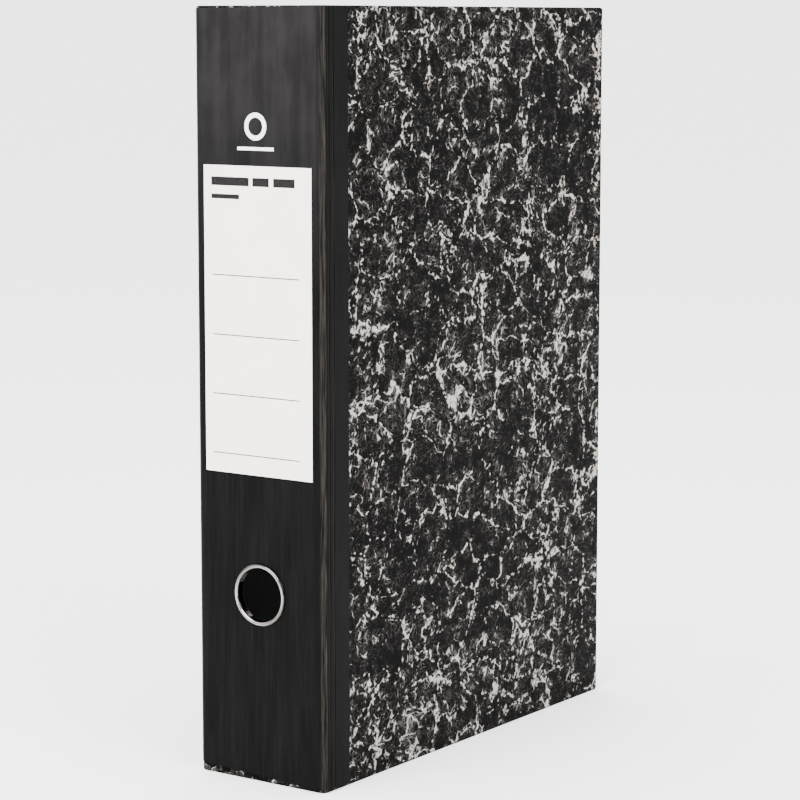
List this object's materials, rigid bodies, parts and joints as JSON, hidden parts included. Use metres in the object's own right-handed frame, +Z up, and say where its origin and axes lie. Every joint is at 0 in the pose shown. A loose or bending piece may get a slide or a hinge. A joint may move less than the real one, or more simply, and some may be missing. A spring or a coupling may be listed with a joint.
{
  "type": "lever arch file",
  "caption": "Upright lever arch file: hinged board covers and spine with a finger ring, and inside a lever that opens arches over two posts, with a sliding compressor bar.",
  "frame": {"origin": "centre of the bounding box's bottom, where the closed file stands", "axes": "+Z up along the spine, +Y from the spine to the open edge, +X from the back cover to the front cover"},
  "size_m": [0.0746, 0.2432, 0.36],
  "materials": {
    "back_cover_board": "creased greyboard",
    "back_cover_paper": "laminated, black and grey marbling",
    "back_cover_cloth": "coated book cloth, satin",
    "back_cover_lining": "plain dark grey",
    "mechanism_base_plate": "zinc plated",
    "lower_post": "nickel plated",
    "upper_post": "nickel plated",
    "rivet_1": "nickel plated",
    "rivet_2": "nickel plated",
    "rivet_3": "nickel plated",
    "rivet_4": "nickel plated",
    "lever_pivot_pin": "zinc plated",
    "arch_spring": "zinc plated",
    "spine_board": "creased greyboard",
    "spine_paper": "laminated, black and grey marbling",
    "spine_cloth": "coated book cloth, satin",
    "spine_lining": "plain dark grey",
    "spine_label": "white, ruled",
    "finger_ring_front": "nickel plated",
    "finger_ring_back": "nickel plated",
    "back_hinge_board": "creased greyboard",
    "back_hinge_paper": "laminated, black and grey marbling",
    "back_hinge_cloth": "coated book cloth, satin",
    "back_hinge_lining": "plain dark grey",
    "front_cover_board": "creased greyboard",
    "front_cover_paper": "laminated, black and grey marbling",
    "front_cover_cloth": "coated book cloth, satin",
    "front_cover_lining": "plain dark grey",
    "front_hinge_board": "creased greyboard",
    "front_hinge_paper": "laminated, black and grey marbling",
    "front_hinge_cloth": "coated book cloth, satin",
    "front_hinge_lining": "plain dark grey",
    "arch_wire": "nickel plated",
    "arch_crank_plate": "zinc plated",
    "lever_arm": "nickel plated",
    "lever_grip": "moulded",
    "roller_pin": "zinc plated",
    "lever_roller": "zinc plated",
    "compressor_bar": "nickel plated",
    "lower_compressor_clip": "zinc plated",
    "upper_compressor_clip": "zinc plated"
  },
  "bodies": {
    "back_cover": {"back_cover_board": "back_cover_board", "back_cover_paper": "back_cover_paper", "back_cover_cloth": "back_cover_cloth", "back_cover_lining": "back_cover_lining", "mechanism_base_plate": "mechanism_base_plate", "lower_post": "lower_post", "upper_post": "upper_post", "rivet_1": "rivet_1", "rivet_2": "rivet_2", "rivet_3": "rivet_3", "rivet_4": "rivet_4", "lever_pivot_pin": "lever_pivot_pin", "arch_spring": "arch_spring"},
    "spine": {"spine_board": "spine_board", "spine_paper": "spine_paper", "spine_cloth": "spine_cloth", "spine_lining": "spine_lining", "spine_label": "spine_label", "finger_ring_front": "finger_ring_front", "finger_ring_back": "finger_ring_back", "back_hinge_board": "back_hinge_board", "back_hinge_paper": "back_hinge_paper", "back_hinge_cloth": "back_hinge_cloth", "back_hinge_lining": "back_hinge_lining"},
    "front_cover": {"front_cover_board": "front_cover_board", "front_cover_paper": "front_cover_paper", "front_cover_cloth": "front_cover_cloth", "front_cover_lining": "front_cover_lining", "front_hinge_board": "front_hinge_board", "front_hinge_paper": "front_hinge_paper", "front_hinge_cloth": "front_hinge_cloth", "front_hinge_lining": "front_hinge_lining"},
    "arches": {"arch_wire": "arch_wire", "arch_crank_plate": "arch_crank_plate"},
    "lever": {"lever_arm": "lever_arm", "lever_grip": "lever_grip", "roller_pin": "roller_pin"},
    "roller": {"lever_roller": "lever_roller"},
    "compressor": {"compressor_bar": "compressor_bar", "lower_compressor_clip": "lower_compressor_clip", "upper_compressor_clip": "upper_compressor_clip"}
  },
  "joints": [
    {"name": "back_hinge", "type": "hinge", "parent": "back_cover", "child": "spine", "pos_m": [-0.03602, -0.11969, 0.18], "axis": [0, 0, -1], "range_deg": [0, 90], "deforming": ["back_hinge_board", "back_hinge_paper", "back_hinge_cloth", "back_hinge_lining"]},
    {"name": "front_hinge", "type": "hinge", "parent": "spine", "child": "front_cover", "pos_m": [0.03652, -0.11969, 0.18], "axis": [0, 0, -1], "range_deg": [0, 120], "deforming": ["front_hinge_board", "front_hinge_paper", "front_hinge_cloth", "front_hinge_lining"]},
    {"name": "lever_pivot", "type": "hinge", "parent": "back_cover", "child": "lever", "pos_m": [-0.01776, -0.09043, 0.213], "axis": [0, -1, 0], "range_deg": [0, 50]},
    {"name": "arch_pivot", "type": "hinge", "parent": "back_cover", "child": "arches", "pos_m": [-0.02676, -0.09942, 0.18], "axis": [0, 0, -1], "range_deg": [0, 25], "deforming": ["arch_spring"]},
    {"name": "roller_spin", "type": "hinge", "parent": "lever", "child": "roller", "pos_m": [-0.01857, -0.09043, 0.20685], "axis": [0, 1, 0], "continuous": true},
    {"name": "compressor_slide", "type": "slide", "parent": "back_cover", "child": "compressor", "axis": [1, 0, 0], "range_m": [0, 0.036]}
  ],
  "couplings": [
    {"joint": "arch_pivot", "follows": "lever_pivot", "ratio": 0.5}
  ]
}
